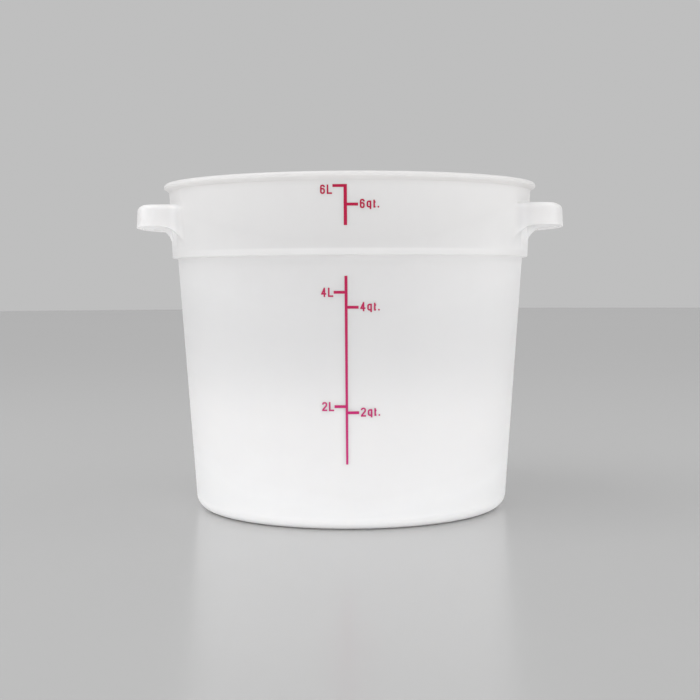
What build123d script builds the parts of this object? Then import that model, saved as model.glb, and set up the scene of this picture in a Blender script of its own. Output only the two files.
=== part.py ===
from build123d import *
import math
import os

# Round dough proofing tub: one translucent moulding with two ears, and a graduation printed on its front.
# Millimetres. The origin is the centre of the base's underside, +Z is up, and -Y is the front with the print.

os.makedirs("parts", exist_ok=True)

# Outside of the tub
height = 199.5  # base to the top of the lip
lip_r = 115.0  # the lip's nose
lip_stand = 2.9  # how far the nose stands out of the upper band
band_h = 45.1  # underside of the stacking shoulder to the top
band_lean = 1.8  # how much narrower the band is at the shoulder
shoulder_w = 3.3  # how far the shoulder stands out of the body
body_lean = 10.7  # how much narrower the body is at the base
corner_r = 8.5  # rounding between body and base

# Walls
band_wall = 2.4
body_wall = 2.2
floor_t = 2.4
ledge_t = 3.6  # height of the thick ledge inside the shoulder

# Lip
lip_h = 4.6  # foot of the flare to the top
lip_land = 0.9  # short upright face of the nose, which a lid snaps over
lip_round_r = 1.6  # nose to the top
lip_under_r = 0.5  # nose to the underside
lip_root_r = 0.8  # underside to the band
rim_r = 0.8  # top to the inside

# Small roundings at the shoulder
shoulder_edge_r = 0.8
shoulder_root_r = 0.6
ledge_edge_share = 0.4  # of the width of the ledge inside
ledge_root_share = 0.5

# Base
foot_ring_w = 6.0  # the flat ring that the tub stands on
base_recess = 1.0  # how far the middle of the base stays off the table
gate_r = 2.5  # mark left by the mould's gate
gate_h = 0.4

# Ears
ear_stand = 16.9  # how far the ears' lower outer edge stands out past the lip
ear_w = 100.0
ear_drop = 13.5  # top of the lip to the top of the ears
ear_h = 13.1
ear_corner_r = 11.0  # corners seen from above
ear_edge_r = 3.0  # upper edge
ear_draft = 3.0  # degrees, wider at the bottom
ear_plate_t = 2.6
ear_skirt_t = 2.2
ear_ribs = 3
ear_rib_pitch = 25.0
ear_rib_t = 2.0
ear_root_r = 11.0  # hollow curves from the ears' ends and ribs into the band

# Print
ink_t = 0.06
tick_t = 1.6
tick_l = 6.0  # beyond the bar's side
upper_bar_w = 1.85
lower_bar_w = 1.65
lower_bar_end_w = 1.2  # it narrows downwards
letter_h = 5.1  # capitals and digits
pen = 0.9  # width of the letters' strokes
bend_r = 0.85  # middle of a stroke where a letter bends
letter_gap = 0.95
litre_gap = 0.2  # tick to the litre labels, on its left
quart_gap = 0.9  # tick to the quart labels, on its right
top_label_drop = 1.95  # the topmost label hangs from its tick
quart_lift = 0.3  # the quart labels stand a little higher than level with their ticks

# Heights of the print, as shares of the band (shoulder to flare) and of the body (base to shoulder)
band_mark_shares = {"6_litre": 0.9192, "6_quart": 0.6720}
band_bar_foot_share = 0.3930
body_mark_shares = {"4_litre": 0.8674, "4_quart": 0.8140, "2_litre": 0.4576, "2_quart": 0.4353}
body_bar_shares = (0.2468, 0.9258)

# Widths of the letters, as shares of their height
letter_w_shares = {"6": 0.53, "4": 0.56, "2": 0.56, "L": 0.57, "q": 0.51, "t": 0.29, ".": 0.19}

# Middle lines of the letters' strokes, as shares of the letter's width and height inside its pen
letter_shares = {
    "6": [[(1, 0.76), (1, 1), (0, 1), (0, 0), (1, 0), (1, 0.58), (0, 0.58)]],
    "4": [[(0.7, -0.2), (0.7, 1.2)], [(0.7, 1), (0, 0.3)], [(-0.5, 0.3), (1.5, 0.3)]],
    "2": [[(0, 0.76), (0, 1), (1, 1), (1, 0.62), (0.02, 0.08)], [(-0.5, 0), (1.5, 0)]],
    "L": [[(0, 1.2), (0, -0.2)], [(0, 0), (1.5, 0)]],
    "q": [[(1, 0.78), (0, 0.78), (0, 0.08), (1, 0.08)], [(1, 0.88), (1, -0.22)]],
    "t": [[(0.2, 1), (0.2, -0.03)], [(0.2, 0.08), (1.5, 0.08)], [(-0.5, 0.7), (1.5, 0.7)]],
    ".": [[(0, 0.2), (0, -0.02)]],
}
tail_share = {"q": 0.3}  # room that a letter may use under the line

overrun = 5.0  # how far cutters pass the faces that they cut
root_sink = 0.05  # how deep the hollow curves of the ears end in the band


def body_r(z):
    """Outer radius of the tapered body at a height."""
    return body_foot_r + (body_top_r - body_foot_r) * z / shoulder_z


def band_r(z):
    """Outer radius of the upper band at a height."""
    return band_foot_r + (band_top_r - band_foot_r) * (z - shoulder_z) / (height - shoulder_z)


def round_corners(sketch, corners):
    """Rounds the corners of a sketch, given as (point, radius) pairs."""
    for point, radius in corners:
        fillet(sketch.vertices().sort_by_distance(point)[0], radius=radius)


band_top_r = lip_r - lip_stand
band_foot_r = band_top_r - band_lean
body_top_r = band_foot_r - shoulder_w
body_foot_r = body_top_r - body_lean
shoulder_z = height - band_h
flare_z = height - lip_h
nose_z = height - lip_round_r - lip_land
floor_z = base_recess + floor_t
ledge_z = shoulder_z + ledge_t
ledge_outer_r = band_r(ledge_z) - band_wall
ledge_inner_r = body_r(ledge_z) - body_wall
ring_inner_r = body_foot_r - corner_r - foot_ring_w
ear_reach_r = lip_r + ear_stand
ear_top_z = height - ear_drop
ear_foot_z = ear_top_z - ear_h
ear_growth = ear_h * math.tan(math.radians(ear_draft))
ear_top_r = ear_reach_r - ear_growth


# Outside of the tub, solid
with BuildPart() as tub_block:
    with BuildSketch(Plane.XZ) as outline:
        with BuildLine():
            Polyline(
                (0, base_recess),
                (ring_inner_r - base_recess, base_recess),
                (ring_inner_r, 0),
                (body_foot_r, 0),
                (body_top_r, shoulder_z),
                (band_foot_r, shoulder_z),
                (band_r(flare_z), flare_z),
                (lip_r, nose_z),
                (lip_r, height),
                (0, height),
                close=True,
            )
        make_face()
        round_corners(
            outline,
            [
                ((body_foot_r, 0), corner_r),
                ((body_top_r, shoulder_z), shoulder_root_r),
                ((band_foot_r, shoulder_z), shoulder_edge_r),
                ((band_r(flare_z), flare_z), lip_root_r),
                ((lip_r, nose_z), lip_under_r),
                ((lip_r, height), lip_round_r),
            ],
        )
    revolve(axis=Axis.Z)

# Inside of the tub, which a filling takes up
with BuildPart() as cavity:
    with BuildSketch(Plane.XZ) as inner_outline:
        with BuildLine():
            Polyline(
                (0, floor_z),
                (body_r(floor_z) - body_wall, floor_z),
                (ledge_inner_r, ledge_z),
                (ledge_outer_r, ledge_z),
                (band_r(height + overrun) - band_wall, height + overrun),
                (0, height + overrun),
                close=True,
            )
        make_face()
        round_corners(
            inner_outline,
            [
                ((body_r(floor_z) - body_wall, floor_z), corner_r - body_wall),
                ((ledge_inner_r, ledge_z), ledge_edge_share * (ledge_outer_r - ledge_inner_r)),
                ((ledge_outer_r, ledge_z), ledge_root_share * (ledge_outer_r - ledge_inner_r)),
            ],
        )
    revolve(axis=Axis.Z)

# Section that the ears are cut to: level undersides, whose roots curve down into the band
ear_root_z = ear_foot_z - ear_root_r
with BuildPart() as ear_limit:
    with BuildSketch(Plane.XZ) as ear_section:
        with BuildLine():
            Polyline(
                (0, ear_root_z),
                (band_r(ear_root_z) - root_sink, ear_root_z),
                (band_r(ear_foot_z) - root_sink, ear_foot_z),
                (ear_reach_r + overrun, ear_foot_z),
                (ear_reach_r + overrun, height),
                (0, height),
                close=True,
            )
        make_face()
        round_corners(ear_section, [((band_r(ear_foot_z) - root_sink, ear_foot_z), ear_root_r)])
    revolve(axis=Axis.Z)


def ear_plan(z):
    """Both ears seen from above at a height: the bar that they make through the tub, and their hollow roots."""
    growth = (ear_top_z - z) * math.tan(math.radians(ear_draft))
    with BuildSketch(Plane.XY.offset(z)) as plan:
        Circle(ear_top_r + growth)
        Rectangle(2 * (ear_top_r + growth), ear_w + 2 * growth, mode=Mode.INTERSECT)
        fillet(plan.vertices(), radius=ear_corner_r + growth)
        Circle(band_r(z) - root_sink)
        roots = plan.vertices().group_by(lambda corner: round(math.hypot(corner.X, corner.Y), 2))[0]
        fillet(roots, radius=ear_root_r)
    return plan.sketch


# Finger pockets under the ears, with ribs left between them
with BuildPart() as pockets:
    with BuildSketch(Plane.XY.offset(ear_top_z - ear_plate_t)) as pocket_plan:
        Circle(ear_top_r - ear_skirt_t)
        Rectangle(2 * ear_reach_r, ear_w - 2 * ear_skirt_t, mode=Mode.INTERSECT)
        fillet(pocket_plan.vertices(), radius=ear_corner_r - ear_skirt_t)
    extrude(amount=-(ear_h - ear_plate_t + ear_root_r + overrun), taper=-ear_draft)
    with GridLocations(0, ear_rib_pitch, 1, ear_ribs):
        Box(3 * ear_reach_r, ear_rib_t, 3 * height, mode=Mode.SUBTRACT)

# Both ears, as one bar that runs through the tub
with BuildPart() as ear_bar:
    loft([ear_plan(ear_root_z - overrun), ear_plan(ear_top_z)], ruled=True)
    fillet(ear_bar.faces().sort_by(Axis.Z)[-1].edges(), radius=ear_edge_r)
    add(ear_limit.part, mode=Mode.INTERSECT)
    add(pockets.part, mode=Mode.SUBTRACT)

# The moulding: block and ears, hollowed from above
with BuildPart() as tub:
    add(tub_block.part)
    add(ear_bar.part)
    add(cavity.part, mode=Mode.SUBTRACT)
    rim = tub.edges().filter_by(GeomType.CIRCLE).group_by(Axis.Z)[-1].sort_by(SortBy.RADIUS)[0]
    fillet(rim, radius=rim_r)
    with BuildSketch(Plane.XY.offset(base_recess)):
        Circle(gate_r)
    extrude(amount=-gate_h)

tub.part.label = "tub"
export_step(tub.part, "parts/tub.step")


def coat(radius_at, low_z, high_z):
    """A skin of ink all round one wall, which the artwork is cut from."""
    with BuildPart() as skin:
        with BuildSketch(Plane.XZ):
            with BuildLine():
                Polyline(
                    (radius_at(low_z), low_z),
                    (radius_at(low_z) + ink_t, low_z),
                    (radius_at(high_z) + ink_t, high_z),
                    (radius_at(high_z), high_z),
                    close=True,
                )
            make_face()
        revolve(axis=Axis.Z)
    return skin.part


def letter(name):
    """One letter or digit, drawn with the pen and trimmed to its box, on a line through the origin."""
    width = letter_w_shares[name] * letter_h
    tail = tail_share.get(name, 0) * letter_h
    with BuildSketch() as shape:
        for stroke in letter_shares[name]:
            points = [(pen / 2 + x * (width - pen), pen / 2 + y * (letter_h - pen)) for x, y in stroke]
            with BuildLine():
                if len(points) > 2:
                    FilletPolyline(*points, radius=bend_r)
                else:
                    Line(*points)
            trace(line_width=pen)
        with Locations((width / 2, (letter_h - tail) / 2)):
            Rectangle(width, letter_h + tail, mode=Mode.INTERSECT)
    return shape.sketch


def printed(artwork, skin, name):
    """Cuts a piece of artwork from the skin of ink, and writes it as a piece of its own."""
    with BuildPart() as ink:
        extrude(artwork, amount=lip_r + overrun)
        add(skin, mode=Mode.INTERSECT)
    ink.part.label = name
    export_step(ink.part, f"parts/{name}.step")


def text_width(text):
    """Width of a label with its gaps."""
    return sum(letter_w_shares[name] * letter_h for name in text) + letter_gap * (len(text) - 1)


front = Plane.XZ
band_skin = coat(band_r, shoulder_z + shoulder_edge_r, flare_z)
body_skin = coat(body_r, corner_r, shoulder_z - shoulder_root_r)
band_marks = {
    name: shoulder_z + share * (flare_z - shoulder_z) for name, share in band_mark_shares.items()
}
body_marks = {name: share * shoulder_z for name, share in body_mark_shares.items()}
letters = {name: letter(name) for name in letter_shares}


def ticks(marks, bar_w):
    """The ticks of one bar: litres to the left, quarts to the right."""
    for name, z in marks.items():
        side = -1 if name.endswith("litre") else 1
        with Locations((side * (bar_w / 2 + tick_l) / 2, z)):
            Rectangle(bar_w / 2 + tick_l, tick_t)


# Bar on the upper band, whose top is the upper side of the highest tick
bar_top_z = max(band_marks.values()) + tick_t / 2
bar_foot_z = shoulder_z + band_bar_foot_share * (flare_z - shoulder_z)
with BuildSketch(front) as upper_scale:
    with Locations((0, (bar_top_z + bar_foot_z) / 2)):
        Rectangle(upper_bar_w, bar_top_z - bar_foot_z)
    ticks(band_marks, upper_bar_w)
printed(upper_scale.sketch, band_skin, "scale_bar_upper")

# Bar on the body, which narrows towards its foot
lower_foot_z, lower_top_z = (share * shoulder_z for share in body_bar_shares)
with BuildSketch(front) as lower_scale:
    with BuildLine():
        Polyline(
            (-lower_bar_end_w / 2, lower_foot_z),
            (lower_bar_end_w / 2, lower_foot_z),
            (lower_bar_w / 2, lower_top_z),
            (-lower_bar_w / 2, lower_top_z),
            close=True,
        )
    make_face()
    ticks(body_marks, lower_bar_w)
printed(lower_scale.sketch, body_skin, "scale_bar_lower")

# Labels, level with their ticks
for marks, skin, bar_w in ((band_marks, band_skin, upper_bar_w), (body_marks, body_skin, lower_bar_w)):
    for name, z in marks.items():
        number, unit = name.split("_")
        text = number + ("L" if unit == "litre" else "qt.")
        tick_end = bar_w / 2 + tick_l
        left = -tick_end - litre_gap - text_width(text) if unit == "litre" else tick_end + quart_gap
        shift = quart_lift if unit == "quart" else 0
        if name == "6_litre":
            shift = -top_label_drop
        with BuildSketch(front) as artwork:
            for position, sign in enumerate(text):
                offset = text_width(text[:position]) + letter_gap
                with Locations((left + offset, z - letter_h / 2 + shift)):
                    add(letters[sign])
        printed(artwork.sketch, skin, f"label_{number}_{unit}")

# What the tub holds, up to its highest mark
with BuildPart() as filling:
    add(cavity.part)
    split(bisect_by=Plane.XY.offset(band_marks["6_litre"]), keep=Keep.BOTTOM)
print(f"filling at the 6 litre mark: {filling.part.volume / 1e6:.2f} litres")
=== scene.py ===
import math

import bmesh
import bpy
from mathutils import Matrix, Vector


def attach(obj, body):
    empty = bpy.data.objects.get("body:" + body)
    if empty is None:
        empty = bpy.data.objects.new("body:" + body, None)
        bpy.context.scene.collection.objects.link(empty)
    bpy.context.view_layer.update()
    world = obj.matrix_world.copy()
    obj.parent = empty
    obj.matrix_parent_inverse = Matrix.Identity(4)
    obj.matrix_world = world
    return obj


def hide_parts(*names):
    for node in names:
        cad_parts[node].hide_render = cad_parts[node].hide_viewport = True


# A round proofing tub of milky polypropylene, with a crimson graduation printed on its front.
# It stands on a pale counter in soft light. Lengths are in metres, +Z is up, and -Y is the printed front.

MM = 0.001

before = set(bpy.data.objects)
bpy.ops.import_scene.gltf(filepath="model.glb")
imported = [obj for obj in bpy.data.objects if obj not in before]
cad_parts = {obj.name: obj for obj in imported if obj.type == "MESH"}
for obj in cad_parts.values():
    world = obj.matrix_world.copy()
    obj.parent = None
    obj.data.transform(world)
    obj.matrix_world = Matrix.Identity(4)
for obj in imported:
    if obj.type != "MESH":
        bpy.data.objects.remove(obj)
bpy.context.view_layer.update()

# Sizes of the turned wall and floor
HEIGHT = 199.5 * MM
LIP_R = 115.0 * MM
LIP_STAND = 2.9 * MM  # nose of the lip past the band
LIP_H = 4.6 * MM  # foot of the flare to the top
LIP_LAND = 0.9 * MM  # upright face of the nose
LIP_ROUND = 1.6 * MM
LIP_UNDER = 0.5 * MM
LIP_ROOT = 0.8 * MM
RIM_ROUND = 0.8 * MM
BAND_H = 45.1 * MM  # underside of the shoulder to the top
BAND_LEAN = 1.8 * MM
BAND_WALL = 2.4 * MM
SHOULDER_W = 3.3 * MM
SHOULDER_EDGE = 0.8 * MM
SHOULDER_ROOT = 0.6 * MM
LEDGE_T = 3.6 * MM
LEDGE_EDGE = 1.2 * MM
LEDGE_ROOT = 1.5 * MM
BODY_LEAN = 10.7 * MM
BODY_WALL = 2.2 * MM
BASE_ROUND = 8.5 * MM
FLOOR_T = 2.4 * MM
FOOT_RING_W = 6.0 * MM
BASE_RECESS = 1.0 * MM
GATE_R = 2.5 * MM
GATE_H = 0.4 * MM

# Sizes of the ears
EAR_STAND = 16.9 * MM  # foot of the ears past the lip
EAR_W = 100.0 * MM
EAR_DROP = 13.5 * MM  # top of the lip to the top of the ears
EAR_H = 13.1 * MM
EAR_CORNER = 11.0 * MM
EAR_EDGE = 3.0 * MM
EAR_DRAFT = math.radians(3.0)
EAR_PLATE_T = 2.6 * MM
EAR_SKIRT_T = 2.2 * MM
EAR_RIM = 0.35 * MM  # rounding of the skirt's lower edges
EAR_RIBS = 3
EAR_RIB_PITCH = 25.0 * MM
EAR_RIB_T = 2.0 * MM
EAR_ROOT = 11.0 * MM  # hollow curves from the ears' ends and ribs into the band

# How fine the meshes are
STEPS_ROUND = 288
ARC_STEP = 0.3 * MM
LEAST_ARC_STEPS = 4
EAR_ARC_STEPS = 36
EAR_CORNER_STEPS = 10
EAR_ROOT_STEPS = 12
EAR_SIDE_STEPS = 4
EDGE_STEPS = 6
WELD = 0.002 * MM
SINK = 0.5 * MM  # how deep pieces of the moulding reach into each other before they are joined
ROOT_SINK = 0.05 * MM  # how deep the hollow curves end in the band
SETTLING_ROUNDS = 5  # how often a point on the skirt's curved edge is brought nearer to its place
CREASE = math.radians(32)

# Places that follow from the sizes
BAND_TOP_R = LIP_R - LIP_STAND
EAR_TOP_Z = HEIGHT - EAR_DROP
EAR_FOOT_Z = EAR_TOP_Z - EAR_H
EAR_CEILING_Z = EAR_TOP_Z - EAR_PLATE_T
EAR_TOP_R = LIP_R + EAR_STAND - EAR_H * math.tan(EAR_DRAFT)

# Zones of the plastic. In each pair a zone fades in from the first value to the second
CLEAR_WALL_Z = (60.0 * MM, 120.0 * MM)
# The rim's zone scatters light less far, and its grey is painted darker there, holding back the light that
# enters the lip from above
RIM_Z = (HEIGHT - 8.0 * MM, HEIGHT - 3.0 * MM)
# The ledge's zone reaches down onto the body under the shoulder, where its grey is painted light over the
# shoulder's shade
LEDGE_FOOT_Z = (149.5 * MM, 153.0 * MM)
LEDGE_TOP_Z = (158.8 * MM, 157.4 * MM)
# The ears' zone takes a lighter grey, painted light for the light that the ears catch and let through
EAR_R = (111.3 * MM, 115.0 * MM)
# The roots' zone marks the creases where the ears' ends meet the band, which are painted lighter over their
# shade
ROOT_X = (96.0 * MM, 107.0 * MM)
ROOT_INNER_R = (109.4 * MM, 110.2 * MM)
ROOT_OUTER_R = (118.0 * MM, 114.0 * MM)
ROOT_FOOT_Z = (157.0 * MM, 167.0 * MM)
ROOT_TOP_Z = (188.0 * MM, 183.0 * MM)
# The pockets' zone marks the shaded hollows under the ears, which are painted nearly white
POCKET_Y = (42.0 * MM, 41.2 * MM)
POCKET_R = (130.9 * MM, 130.2 * MM)
POCKET_Z = (EAR_CEILING_Z + 0.4 * MM, EAR_CEILING_Z + 0.2 * MM)

# Greys of the plastic. The wall's are given at heights, as shares of the tub's, and carry painted light:
# brighter towards the foot, standing in for light gathered in the tub and thrown up by the counter and
# lifting the shade on the base's rounding, and darker near the top
WALL_GREYS_WITH_PAINTED_LIGHT = (
    (0.0, 0.99),
    (0.05, 0.96),
    (0.10, 0.88),
    (0.22, 0.82),
    (0.31, 0.785),
    (0.42, 0.765),
    (0.60, 0.74),
    (0.80, 0.545),
)
# Lighter at the ledge, where the plastic is thicker, and painted light over the shade under the shoulder
LEDGE_GREY_AND_PAINTED_LIGHT = 0.65
# Painted light: the ears lighter than the wall
EAR_PAINTED_LIGHT_GREY = 0.72
# Painted light over the shade in the creases at the ears' roots
ROOT_PAINTED_LIGHT_GREY = 0.82
# Painted light over the shade in the ears' pockets
POCKET_PAINTED_LIGHT_GREY = 0.99
# Painted shade: the rim darker, holding back the light that enters the lip from above
RIM_PAINTED_SHADE_GREY = 0.52
PAINTED_GLOW_CLOUDS = 0.10  # how much the edge of the painted glow at the foot wanders, as a share of the height
PAINTED_GLOW_CLIMB = 0.16  # how much higher the painted glow stands under the ears, as a share of the height
FLOW_TINTS = ((0.35, (0.985, 0.972, 0.975, 1.0)), (0.65, (1.0, 0.988, 0.985, 1.0)))

# How far light travels in the plastic
WALL_SCATTER = 30.0 * MM
FOOT_SCATTER = 8.0 * MM
EAR_SCATTER = 9.0 * MM
RIM_SCATTER = 20.0 * MM
SCATTER_BY_COLOUR = (1.0, 0.97, 0.93)

# Colours of the ink at heights, as shares of the tub's
INK_COLOURS = (
    (0.2, (0.55, 0.022, 0.185, 1.0)),
    (0.55, (0.45, 0.012, 0.095, 1.0)),
    (0.9, (0.41, 0.002, 0.045, 1.0)),
)

# Surfaces of the plastic, the ink and the counter. A roughness in a pair goes from the first to the second
PLASTIC_IOR = 1.49
PLASTIC_ROUGHNESS = (0.33, 0.45)
PLASTIC_GRAIN_H = 0.01 * MM
INK_IOR = 1.48
INK_SPECULAR = 0.3
INK_ROUGHNESS = (0.4, 0.6)
INK_GRAIN_H = 0.008 * MM
COUNTER_ROUGHNESS = 0.22


def band_r(z):
    """Outer radius of the upper band at a height."""
    return BAND_TOP_R - BAND_LEAN * (HEIGHT - z) / BAND_H


def spread(first, last, steps):
    """Even values from first to last, both included."""
    return [first + (last - first) * step / steps for step in range(steps + 1)]


# Node trees, written as sums


class Value:
    """What a socket gives: a number, colour or field, which adds up and divides like a number."""

    def __init__(self, tree, socket):
        self.tree = tree
        self.socket = socket

    def __add__(self, other):
        return self.tree.math("ADD", self, other)

    def __sub__(self, other):
        return self.tree.math("SUBTRACT", self, other)

    def __mul__(self, other):
        return self.tree.math("MULTIPLY", self, other)

    def __truediv__(self, other):
        return self.tree.math("DIVIDE", self, other)


class Tree:
    """A tree of nodes."""

    def __init__(self, graph):
        self.graph = graph

    def feed(self, socket, value):
        """Links a value to a socket, or writes a plain one there."""
        if isinstance(value, Value):
            self.graph.links.new(value.socket, socket)
        else:
            socket.default_value = value

    def node(self, kind, outlet=0, settings=None, feeds=None):
        """A node with its settings, and its inputs fed by name. One of its outputs comes back."""
        node = self.graph.nodes.new(kind)
        for name, value in (settings or {}).items():
            setattr(node, name, value)
        for name, value in (feeds or {}).items():
            self.feed(node.inputs[name], value)
        return Value(self, node.outputs[outlet])

    def math(self, operation, first, second=0.0):
        """One sum."""
        return self.node("ShaderNodeMath", settings={"operation": operation}, feeds={0: first, 1: second})


class Recipe(Tree):
    """A Geometry Nodes tree with named inputs for its sizes."""

    def __init__(self, name):
        super().__init__(bpy.data.node_groups.new(name, "GeometryNodeTree"))
        self.given = {}
        self.graph.interface.new_socket("Geometry", in_out="INPUT", socket_type="NodeSocketGeometry")
        self.graph.interface.new_socket("Geometry", in_out="OUTPUT", socket_type="NodeSocketGeometry")
        self.start = self.graph.nodes.new("NodeGroupInput")

    def size(self, name, value, kind="NodeSocketFloat"):
        """A named input, which the object sets to the value."""
        socket = self.graph.interface.new_socket(name, in_out="INPUT", socket_type=kind)
        self.given[socket.identifier] = value
        return Value(self, self.start.outputs[name])

    def by_number(self, kind, choices):
        """The choice that stands at the point's own number."""
        switch = self.graph.nodes.new("GeometryNodeIndexSwitch")
        switch.data_type = kind
        while len(switch.index_switch_items) < len(choices):
            switch.index_switch_items.new()
        self.feed(switch.inputs["Index"], self.node("GeometryNodeInputIndex"))
        for number, choice in enumerate(choices):
            self.feed(switch.inputs[str(number)], choice)
        return Value(self, switch.outputs[0])

    def make(self, geometry, material, name):
        """Ends the tree with real geometry in one material, and gives back the mesh object that it makes."""
        real = self.node("GeometryNodeRealizeInstances", feeds={"Geometry": geometry})
        painted = self.node("GeometryNodeSetMaterial", feeds={"Geometry": real, "Material": material})
        self.feed(self.graph.nodes.new("NodeGroupOutput").inputs["Geometry"], painted)
        piece = new_object(name, bpy.data.meshes.new(name))
        modifier = piece.modifiers.new(self.graph.name, "NODES")
        modifier.node_group = self.graph
        for identifier, value in self.given.items():
            modifier[identifier] = value
        return settled(piece)


def new_object(name, mesh):
    """An object in the scene for a mesh."""
    piece = bpy.data.objects.new(name, mesh)
    bpy.context.scene.collection.objects.link(piece)
    return piece


def settled(piece):
    """The piece with its modifiers worked into a plain mesh."""
    evaluated = piece.evaluated_get(bpy.context.evaluated_depsgraph_get())
    mesh = bpy.data.meshes.new_from_object(evaluated)
    piece.modifiers.clear()
    piece.data = mesh
    return piece


# The wall and floor, turned round the axis


def turned_tub(material):
    """Turns the tub's section: floor, inside, lip, band, shoulder, body, foot ring and underside."""
    recipe = Recipe("turned_tub")
    size = recipe.size
    height = size("Height", HEIGHT)
    lip_r = size("Lip radius", LIP_R)
    lip_h = size("Lip height", LIP_H)
    lip_land = size("Lip land", LIP_LAND)
    lip_round = size("Lip rounding", LIP_ROUND)
    lip_under = size("Lip underside rounding", LIP_UNDER)
    lip_root = size("Lip root rounding", LIP_ROOT)
    rim_round = size("Rim rounding", RIM_ROUND)
    band_top = lip_r - size("Lip stand", LIP_STAND)
    band_h = size("Band height", BAND_H)
    band_lean = size("Band lean", BAND_LEAN)
    band_wall = size("Band wall", BAND_WALL)
    shoulder_w = size("Shoulder width", SHOULDER_W)
    shoulder_edge = size("Shoulder edge rounding", SHOULDER_EDGE)
    shoulder_root = size("Shoulder root rounding", SHOULDER_ROOT)
    ledge_t = size("Ledge thickness", LEDGE_T)
    ledge_edge = size("Ledge edge rounding", LEDGE_EDGE)
    ledge_root = size("Ledge root rounding", LEDGE_ROOT)
    body_lean = size("Body lean", BODY_LEAN)
    body_wall = size("Body wall", BODY_WALL)
    base_round = size("Base rounding", BASE_ROUND)
    floor_t = size("Floor thickness", FLOOR_T)
    ring_w = size("Foot ring width", FOOT_RING_W)
    recess = size("Base recess", BASE_RECESS)
    gate_r = size("Gate mark radius", GATE_R)
    gate_h = size("Gate mark height", GATE_H)
    steps_round = size("Steps round", STEPS_ROUND, "NodeSocketInt")
    arc_step = size("Arc step", ARC_STEP)
    finish = size("Material", material, "NodeSocketMaterial")

    band_foot = band_top - band_lean
    body_top = band_foot - shoulder_w
    body_foot = body_top - body_lean
    shoulder_z = height - band_h
    floor_z = recess + floor_t
    ledge_z = shoulder_z + ledge_t
    body_slope = body_lean / shoulder_z
    band_slope = band_lean / band_h
    floor_r = body_foot + body_slope * floor_z - body_wall
    ledge_in = body_foot + body_slope * ledge_z - body_wall
    ledge_out = band_foot + band_slope * ledge_t - band_wall
    ring_in = body_foot - base_round - ring_w
    axis = lip_r - lip_r  # zero, as a value of the tree

    # Corners from the middle of the floor to the middle of the underside: radius, height, rounding
    corners = [
        (axis, floor_z, 0.0),
        (floor_r, floor_z, base_round - body_wall),
        (ledge_in, ledge_z, ledge_edge),
        (ledge_out, ledge_z, ledge_root),
        (band_top - band_wall, height, rim_round),
        (lip_r, height, lip_round),
        (lip_r, height - lip_round - lip_land, lip_under),
        (band_top - band_slope * lip_h, height - lip_h, lip_root),
        (band_foot, shoulder_z, shoulder_edge),
        (body_top, shoulder_z, shoulder_root),
        (body_foot, axis, base_round),
        (ring_in, axis, 0.0),
        (ring_in - recess, recess, 0.0),
        (gate_r, recess, 0.0),
        (gate_r, recess - gate_h, 0.0),
        (axis, recess - gate_h, 0.0),
    ]
    # The section hangs on a rail of the lip's radius, and a rail's own up is down
    places = [
        recipe.node("ShaderNodeCombineXYZ", feeds={"X": r - lip_r, "Y": z * -1.0}) for r, z, _ in corners
    ]
    rounding = recipe.by_number("FLOAT", [round_r for _, _, round_r in corners])
    line = recipe.node("GeometryNodeMeshLine", feeds={"Count": len(corners)})
    section = recipe.node(
        "GeometryNodeSetPosition", feeds={"Geometry": line, "Position": recipe.by_number("VECTOR", places)}
    )
    section = recipe.node("GeometryNodeMeshToCurve", feeds={"Mesh": section})
    section = recipe.node(
        "GeometryNodeFilletCurve",
        settings={"mode": "POLY"},
        feeds={
            "Curve": section,
            "Radius": rounding,
            "Count": recipe.math("MAXIMUM", rounding / arc_step, float(LEAST_ARC_STEPS)),
        },
    )
    rail = recipe.node(
        "GeometryNodeCurvePrimitiveCircle", feeds={"Resolution": steps_round, "Radius": lip_r}
    )
    rail = recipe.node("GeometryNodeSetCurveNormal", settings={"mode": "Z_UP"}, feeds={"Curve": rail})
    skin = recipe.node("GeometryNodeCurveToMesh", feeds={"Curve": rail, "Profile Curve": section})
    skin = recipe.node("GeometryNodeMergeByDistance", feeds={"Geometry": skin, "Distance": WELD})
    return recipe.make(skin, finish, "tub_moulding")


# The ears, which are moulded on


def solid(name, loops):
    """A closed mesh from loops with equally many points, its ends closed by strips from side to side."""
    mesh = bmesh.new()
    rows = [[mesh.verts.new(point) for point in loop] for loop in loops]
    count = len(loops[0])
    for row, following in zip(rows, rows[1:]):
        for k in range(count):
            mesh.faces.new((row[k - 1], row[k], following[k], following[k - 1]))
    for row in (rows[0], rows[-1]):
        for k in range(count // 2):
            corners = (row[k], row[k + 1], row[count - k - 1], row[(count - k) % count])
            mesh.faces.new(sorted(set(corners), key=corners.index))
    bmesh.ops.recalc_face_normals(mesh, faces=mesh.faces)
    data = bpy.data.meshes.new(name)
    mesh.to_mesh(data)
    mesh.free()
    return new_object(name, data)


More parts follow.
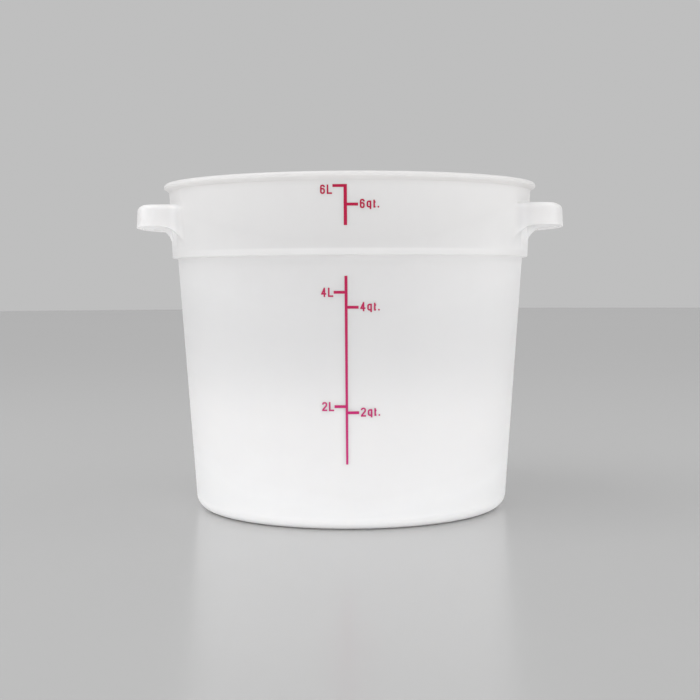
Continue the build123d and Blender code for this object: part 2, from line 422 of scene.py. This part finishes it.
def ear_path(z, inset, rooted):
    """Points round an ear from root to root at a height, drawn in by inset.

    Only a rooted path has the hollow roots. The pocket's ends run straight on.
    """
    growth = (EAR_TOP_Z - z) * math.tan(EAR_DRAFT)
    outer_r = EAR_TOP_R + growth - inset
    half_w = EAR_W / 2 + growth - inset
    corner = EAR_CORNER + growth - inset
    corner_y = half_w - corner
    corner_x = math.sqrt((outer_r - corner) ** 2 - corner_y**2)
    turn = math.atan2(corner_y, corner_x)

    # The hollow root turns round an upright line in front of the ear's end
    sunk_r = band_r(z) - ROOT_SINK
    root_y = EAR_W / 2 + growth + EAR_ROOT
    away = sunk_r + EAR_ROOT
    root_x = math.sqrt(away**2 - root_y**2)
    root = EAR_ROOT + (inset if rooted else 0.0)
    crossing = math.acos(min(1.0, (away**2 + root**2 - sunk_r**2) / (2 * away * root)))
    first = math.atan2(-root_y, -root_x) + crossing
    side = [
        (root_x + root * math.cos(angle), root_y + root * math.sin(angle))
        for angle in spread(first, -math.pi / 2, EAR_ROOT_STEPS)
    ]
    if not rooted:
        side = [(math.sqrt(x**2 + y**2 - half_w**2), half_w) for x, y in side]
    side += [(x, half_w) for x in spread(side[-1][0], corner_x, EAR_SIDE_STEPS)[1:-1]]
    side += [
        (corner_x + corner * math.cos(angle), corner_y + corner * math.sin(angle))
        for angle in spread(math.pi / 2, turn, EAR_CORNER_STEPS)
    ]
    arc = [
        (outer_r * math.cos(angle), outer_r * math.sin(angle))
        for angle in spread(turn, -turn, EAR_ARC_STEPS)[1:-1]
    ]
    return side + arc + [(x, -y) for x, y in reversed(side)]


def lower_edge(r, z):
    """Height of the ears' underside at a radius: level, then curved down into the leaning band near z."""
    out = min(max(r - band_r(z) + ROOT_SINK, 0.0), EAR_ROOT)
    return EAR_FOOT_Z - EAR_ROOT + math.sqrt(out * (2 * EAR_ROOT - out))


def closed_ring(points, side, depth):
    """Closes an ear's ring behind the band's face, sunk by depth, on the right (side 1) or the left (-1)."""
    x, y, z = points[0]
    back_r = band_r(z) - depth
    reach = math.atan2(y, x)
    back = [
        (back_r * math.cos(angle), back_r * math.sin(angle), z)
        for angle in spread(-reach, reach, len(points) - 1)[1:-1]
    ]
    return [Vector((side * x, y, z)) for x, y, z in points + back]


def level_ring(side, inset, z, depth, rooted):
    """A level ring round an ear."""
    return closed_ring([(x, y, z) for x, y in ear_path(z, inset, rooted)], side, depth)


def edge_ring(side, inset, lift, depth, rooted):
    """A ring that follows the skirt's lower edge, lifted off it."""
    points = []
    count = len(ear_path(EAR_FOOT_Z, inset, rooted))
    for number in range(count):
        edge_z = EAR_FOOT_Z
        for _ in range(SETTLING_ROUNDS):
            x, y = ear_path(edge_z + lift, inset, rooted)[number]
            edge_z = lower_edge(math.hypot(x, y), edge_z)
        points.append((x, y, edge_z + lift))
    return closed_ring(points, side, depth)


def ear_shell(side):
    """The ear's plate and skirt, open underneath: upper edge, skirt, its rim, then up into the pocket."""
    outer, inner = 2 * SINK, SINK
    upper_edge, outer_rim, inner_rim = [], [], []
    for angle in spread(0, math.pi / 2, EDGE_STEPS):
        fall, rise = 1 - math.sin(angle), 1 - math.cos(angle)
        upper_edge.append(level_ring(side, EAR_EDGE * fall, EAR_TOP_Z - EAR_EDGE * rise, outer, True))
        outer_rim.append(edge_ring(side, EAR_RIM * rise, EAR_RIM * fall, outer, True))
        inner_rim.append(edge_ring(side, EAR_SKIRT_T - EAR_RIM * fall, EAR_RIM * rise, inner, False))
    pocket_end = level_ring(side, EAR_SKIRT_T, EAR_CEILING_Z, inner, False)
    return solid("ear_shell", [*upper_edge, *outer_rim, *inner_rim, pocket_end])


def rib_section(low, reach, high):
    """Section of a rib on the band: its foot curves out of the band, then its lower edge runs out level."""
    lower = [(band_r(low - EAR_ROOT) - SINK, low - EAR_ROOT)]
    for angle in spread(0, math.pi / 2, 2 * EDGE_STEPS):
        z = low - EAR_ROOT * (1 - math.sin(angle))
        lower.append((band_r(z) - ROOT_SINK + EAR_ROOT * (1 - math.cos(angle)), z))
    lower.append((reach, low))
    return lower + [(r, high) for r, _ in reversed(lower)]


def ear_ribs(side):
    """The ribs across an ear's pocket."""
    section = rib_section(EAR_FOOT_Z + EAR_RIM / 2, EAR_TOP_R - EAR_SKIRT_T / 2, EAR_CEILING_Z + SINK)
    ribs = []
    for number in range(EAR_RIBS):
        middle = (number - (EAR_RIBS - 1) / 2) * EAR_RIB_PITCH
        sides = [
            [Vector((side * math.sqrt(r**2 - y**2), y, z)) for r, z in section]
            for y in (middle - EAR_RIB_T / 2, middle + EAR_RIB_T / 2)
        ]
        ribs.append(solid("ear_rib", sides))
    return ribs


def moulded_together(body, pieces):
    """Joins the pieces that reach into a body to it, as one closed mesh with crisp edges."""
    group = bpy.data.collections.new("moulded_on")
    for piece in pieces:
        group.objects.link(piece)
    join = body.modifiers.new("join", "BOOLEAN")
    join.operation = "UNION"
    join.solver = "EXACT"
    join.operand_type = "COLLECTION"
    join.collection = group
    settled(body)
    for piece in pieces:
        bpy.data.objects.remove(piece)
    bpy.data.collections.remove(group)
    body.data.shade_smooth()
    body.data.set_sharp_from_angle(angle=CREASE)
    return body


# Finishes


class Finish(Tree):
    """A material's tree, with the surface's place on the object."""

    def __init__(self, name):
        self.material = bpy.data.materials.new(name)
        self.material.use_nodes = True
        super().__init__(self.material.node_tree)
        self.shader = self.graph.nodes["Principled BSDF"]
        self.place = self.node("ShaderNodeTexCoord", "Object")

    def stretched(self, across, up):
        """The place, scaled across and up, so that a pattern gets that many features a metre."""
        return self.node("ShaderNodeMapping", feeds={"Vector": self.place, "Scale": (across, across, up)})

    def height(self):
        """Height over what the object stands on."""
        return self.node("ShaderNodeSeparateXYZ", "Z", feeds={"Vector": self.place})

    def aside(self, axis):
        """Distance from the object's middle along X or Y, on either side."""
        place = self.node("ShaderNodeSeparateXYZ", axis, feeds={"Vector": self.place})
        return self.math("ABSOLUTE", place)

    def radius(self):
        """Distance from the object's upright axis."""
        flat_place = self.stretched(1.0, 0.0)
        return self.node(
            "ShaderNodeVectorMath", "Value", settings={"operation": "LENGTH"}, feeds={0: flat_place}
        )

    def noise(self, across, up=None, detail=2.0, rough=0.5):
        """Soft noise from 0 to 1."""
        spot = self.stretched(across, across if up is None else up)
        feeds = {"Vector": spot, "Scale": 1.0, "Detail": detail, "Roughness": rough}
        return self.node("ShaderNodeTexNoise", feeds=feeds)

    def share(self, value, none, full):
        """0 up to none, 1 from full on, and smooth between them. Full may be the lower of the two."""
        return self.node(
            "ShaderNodeMapRange",
            settings={"interpolation_type": "SMOOTHSTEP"},
            feeds={"Value": value, "From Min": none, "From Max": full},
        )

    def zone(self, *edges):
        """1 inside all the edges, each given as a value and the pair between which it fades in."""
        inside = [self.share(value, *pair) for value, pair in edges]
        whole = inside[0]
        for part in inside[1:]:
            whole = whole * part
        return whole

    def bands(self, source, stops):
        """A colour for each value of a source, blended between stops of (value, colour)."""
        ramp = self.graph.nodes.new("ShaderNodeValToRGB")
        elements = ramp.color_ramp.elements
        while len(elements) < len(stops):
            elements.new(1.0)
        for element, (value, colour) in zip(elements, stops):
            element.position = value
            element.color = colour
        self.feed(ramp.inputs["Fac"], source)
        return Value(self, ramp.outputs["Color"])

    def between(self, first, last, share):
        """From the first number to the last."""
        return share * self.math("SUBTRACT", last, first) + first

    def blend(self, first, second, share, how="MIX"):
        """From the first colour to the second, or to the first one changed by the second."""
        mix = self.graph.nodes.new("ShaderNodeMix")
        mix.data_type = "RGBA"
        mix.blend_type = how
        self.feed(mix.inputs["Factor"], share)
        colours = [socket for socket in mix.inputs if socket.type == "RGBA"]
        self.feed(colours[0], first)
        self.feed(colours[1], second)
        return Value(self, next(socket for socket in mix.outputs if socket.type == "RGBA"))

    def bump(self, height, distance):
        """A bumped normal."""
        return self.node("ShaderNodeBump", feeds={"Height": height, "Distance": distance})

    def paint(self, name, value):
        """Feeds one of the shader's inputs."""
        self.feed(self.shader.inputs[name], value)


def grey(level):
    """A neutral colour."""
    return (level, level, level, 1.0)


def seen_directly(tree):
    """1 where the camera, gloss or clear plastic looks, and 0 where light is gathered."""
    path = tree.graph.nodes.new("ShaderNodeLightPath")
    seen = Value(tree, path.outputs["Is Camera Ray"])
    for name in ("Is Glossy Ray", "Is Transmission Ray"):
        seen = tree.math("MAXIMUM", seen, Value(tree, path.outputs[name]))
    return seen


def milky_polypropylene():
    """Natural polypropylene: thin and glowing in the wall, milkier at the foot, the ears and the rim, where
    light goes less far in it. Its colour carries painted light: lighter towards the foot, in the ears, their
    roots and pockets and under the shoulder, and darker at the rim.
    """
    finish = Finish("milky_polypropylene")
    height = finish.height()
    radius = finish.radius()
    aside = finish.aside("X")
    clear_wall = finish.zone((height, CLEAR_WALL_Z))
    rim = finish.zone((height, RIM_Z))
    ledge = finish.zone((height, LEDGE_FOOT_Z), (height, LEDGE_TOP_Z))
    # The roots' zone, where the creases are painted lighter over their shade
    root = finish.zone(
        (aside, ROOT_X),
        (radius, ROOT_INNER_R),
        (radius, ROOT_OUTER_R),
        (height, ROOT_FOOT_Z),
        (height, ROOT_TOP_Z),
    )
    ear = finish.math("MAXIMUM", finish.zone((radius, EAR_R)), root)
    # The pockets' zone, painted light over the shade in the hollows
    pocket = ear * finish.zone((finish.aside("Y"), POCKET_Y), (radius, POCKET_R), (height, POCKET_Z))

    # Painted light: the wall is painted brighter towards the foot, higher under the ears than at the front,
    # and the edge of this painted glow is cloudy
    to_ears = aside / LIP_R
    cloud = finish.noise(across=16.0, detail=3.0) - 0.5
    level = height / HEIGHT - to_ears * to_ears * PAINTED_GLOW_CLIMB + cloud * PAINTED_GLOW_CLOUDS
    tone = finish.bands(level, [(place, grey(shade)) for place, shade in WALL_GREYS_WITH_PAINTED_LIGHT])
    # Painted light and shade over the wall: lighter at the ledge and under the shoulder, in the ears, their
    # roots and pockets, and darker at the rim
    tone = finish.blend(tone, grey(LEDGE_GREY_AND_PAINTED_LIGHT), ledge)
    tone = finish.blend(tone, grey(EAR_PAINTED_LIGHT_GREY), ear)
    tone = finish.blend(tone, grey(ROOT_PAINTED_LIGHT_GREY), root)
    tone = finish.blend(tone, grey(POCKET_PAINTED_LIGHT_GREY), pocket)
    tone = finish.blend(tone, grey(RIM_PAINTED_SHADE_GREY), rim)

    # The melt's flow tints it a little, in upright streaks and in clouds
    streaks = finish.noise(across=70.0, up=4.0, detail=3.0)
    clouds = finish.noise(across=30.0, detail=4.0)
    tint = finish.bands(streaks * 0.5 + clouds * 0.5, FLOW_TINTS)
    finish.paint("Base Color", finish.blend(tone, tint, 1.0, "MULTIPLY"))

    scatter = finish.between(FOOT_SCATTER, WALL_SCATTER, clear_wall)
    scatter = finish.between(scatter, EAR_SCATTER, ear)
    scatter = finish.between(scatter, RIM_SCATTER, rim)
    finish.paint("Subsurface Weight", 1.0)
    finish.paint("Subsurface Radius", SCATTER_BY_COLOUR)
    finish.paint("Subsurface Scale", scatter)
    finish.paint("IOR", PLASTIC_IOR)
    finish.paint("Roughness", finish.between(*PLASTIC_ROUGHNESS, finish.noise(across=90.0, detail=4.0)))
    grain = finish.noise(across=2600.0, detail=3.0, rough=0.6)
    finish.paint("Normal", finish.bump(grain, PLASTIC_GRAIN_H))
    return finish.material


def crimson_ink():
    """Ink from one pass of the printing pad, a little bluer towards its foot."""
    finish = Finish("crimson_ink")
    finish.paint("Base Color", finish.bands(finish.height() / HEIGHT, INK_COLOURS))
    finish.paint("IOR", INK_IOR)
    finish.paint("Specular IOR Level", INK_SPECULAR)
    finish.paint("Roughness", finish.between(*INK_ROUGHNESS, finish.noise(across=700.0, detail=3.0)))
    finish.paint("Normal", finish.bump(finish.noise(across=1800.0), INK_GRAIN_H))
    return finish.material


def pale_counter(lit, seen):
    """A plain satin counter: white to the light that it throws back, pale grey to the eye."""
    finish = Finish("pale_counter")
    finish.paint("Base Color", finish.blend(grey(lit), grey(seen), seen_directly(finish)))
    finish.paint("Roughness", COUNTER_ROUGHNESS)
    return finish.material


# The object

polypropylene = milky_polypropylene()
ink = crimson_ink()
tub = turned_tub(polypropylene)
ear_pieces = [piece for side in (1, -1) for piece in (ear_shell(side), *ear_ribs(side))]
moulded_together(tub, ear_pieces)
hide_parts("tub")
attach(tub, "root")

for name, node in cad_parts.items():
    if name != "tub":
        for slot in node.material_slots:
            slot.material = ink


# The counter, the light and the camera


def soft_box(name, place, width, height, power, spread_degrees=180, shine=True):
    """A soft box, turned to the tub's middle. Without shine it isn't mirrored in anything."""
    light = bpy.data.lights.new(name, "AREA")
    light.shape = "RECTANGLE"
    light.size = width
    light.size_y = height
    light.energy = power
    light.spread = math.radians(spread_degrees)
    lamp = bpy.data.objects.new(name, light)
    lamp.location = place
    lamp.visible_glossy = shine
    lamp.rotation_euler = (Vector(TUB_MIDDLE) - Vector(place)).to_track_quat("-Z", "Y").to_euler()
    bpy.context.scene.collection.objects.link(lamp)


def studio_air(light_level, backdrop):
    """Even light from all round, and a plain backdrop where the camera or a gloss looks into it."""
    world = bpy.data.worlds.new("studio_air")
    bpy.context.scene.world = world
    world.use_nodes = True
    air = Tree(world.node_tree)
    background = world.node_tree.nodes["Background"]
    air.feed(background.inputs["Color"], grey(1.0))
    air.feed(background.inputs["Strength"], seen_directly(air) * (backdrop - light_level) + light_level)


COUNTER_R = 6.0
COUNTER_STEPS = 256
COUNTER_TOP = -0.03 * MM  # just under the foot ring
COUNTER_LIT = 0.9
COUNTER_SEEN = 0.44
TUB_MIDDLE = (0.0, 0.0, HEIGHT / 2)

counter_disc = bmesh.new()
bmesh.ops.create_circle(
    counter_disc,
    cap_ends=True,
    segments=COUNTER_STEPS,
    radius=COUNTER_R,
    matrix=Matrix.Translation((0.0, 0.0, COUNTER_TOP)),
)
counter_mesh = bpy.data.meshes.new("counter")
counter_disc.to_mesh(counter_mesh)
counter_disc.free()
counter_mesh.materials.append(pale_counter(COUNTER_LIT, COUNTER_SEEN))
new_object("counter", counter_mesh)

# The low boxes in front are narrow, so that they light the tub and not the counter under them
LOW_BOX = {"width": 1.0, "height": 0.26, "spread_degrees": 60, "shine": False}
WIDE_BOX = {"width": 1.0, "height": 1.0}
soft_box("front_left_box", (-0.7, -1.4, 0.21), power=0.31, **LOW_BOX)
soft_box("front_right_box", (0.7, -1.4, 0.21), power=0.49, **LOW_BOX)
soft_box("left_box", (-1.2, 0.0, 0.6), power=2.4, **WIDE_BOX)
soft_box("right_box", (1.2, 0.0, 0.6), power=2.3, **WIDE_BOX)
soft_box("top_box", (-0.6, -0.4, 1.4), power=4.9, **WIDE_BOX)
studio_air(light_level=0.86, backdrop=0.52)

CAMERA_AWAY = 815.9 * MM  # from the tub's axis
CAMERA_Z = 139.7 * MM
CAMERA_ROUND = 1.25  # degrees round the tub, from its front to the right
CAMERA_PAN = 0.024  # degrees to the left
CAMERA_PITCH = 3.017  # degrees, looking down
CAMERA_ROLL = 0.29  # degrees, the right side stands higher
LENS_MM = 66.67

lens = bpy.data.cameras.new("camera")
lens.lens = LENS_MM
lens.sensor_width = 36.0
lens.clip_start = 0.01
camera = bpy.data.objects.new("camera", lens)
camera.matrix_world = (
    Matrix.Rotation(math.radians(CAMERA_ROUND), 4, "Z")
    @ Matrix.Translation((0.0, -CAMERA_AWAY, CAMERA_Z))
    @ Matrix.Rotation(math.radians(CAMERA_PAN), 4, "Z")
    @ Matrix.Rotation(math.radians(90 - CAMERA_PITCH), 4, "X")
    @ Matrix.Rotation(math.radians(-CAMERA_ROLL), 4, "Z")
)
bpy.context.scene.collection.objects.link(camera)
bpy.context.scene.camera = camera
bpy.context.scene.view_settings.view_transform = "Standard"
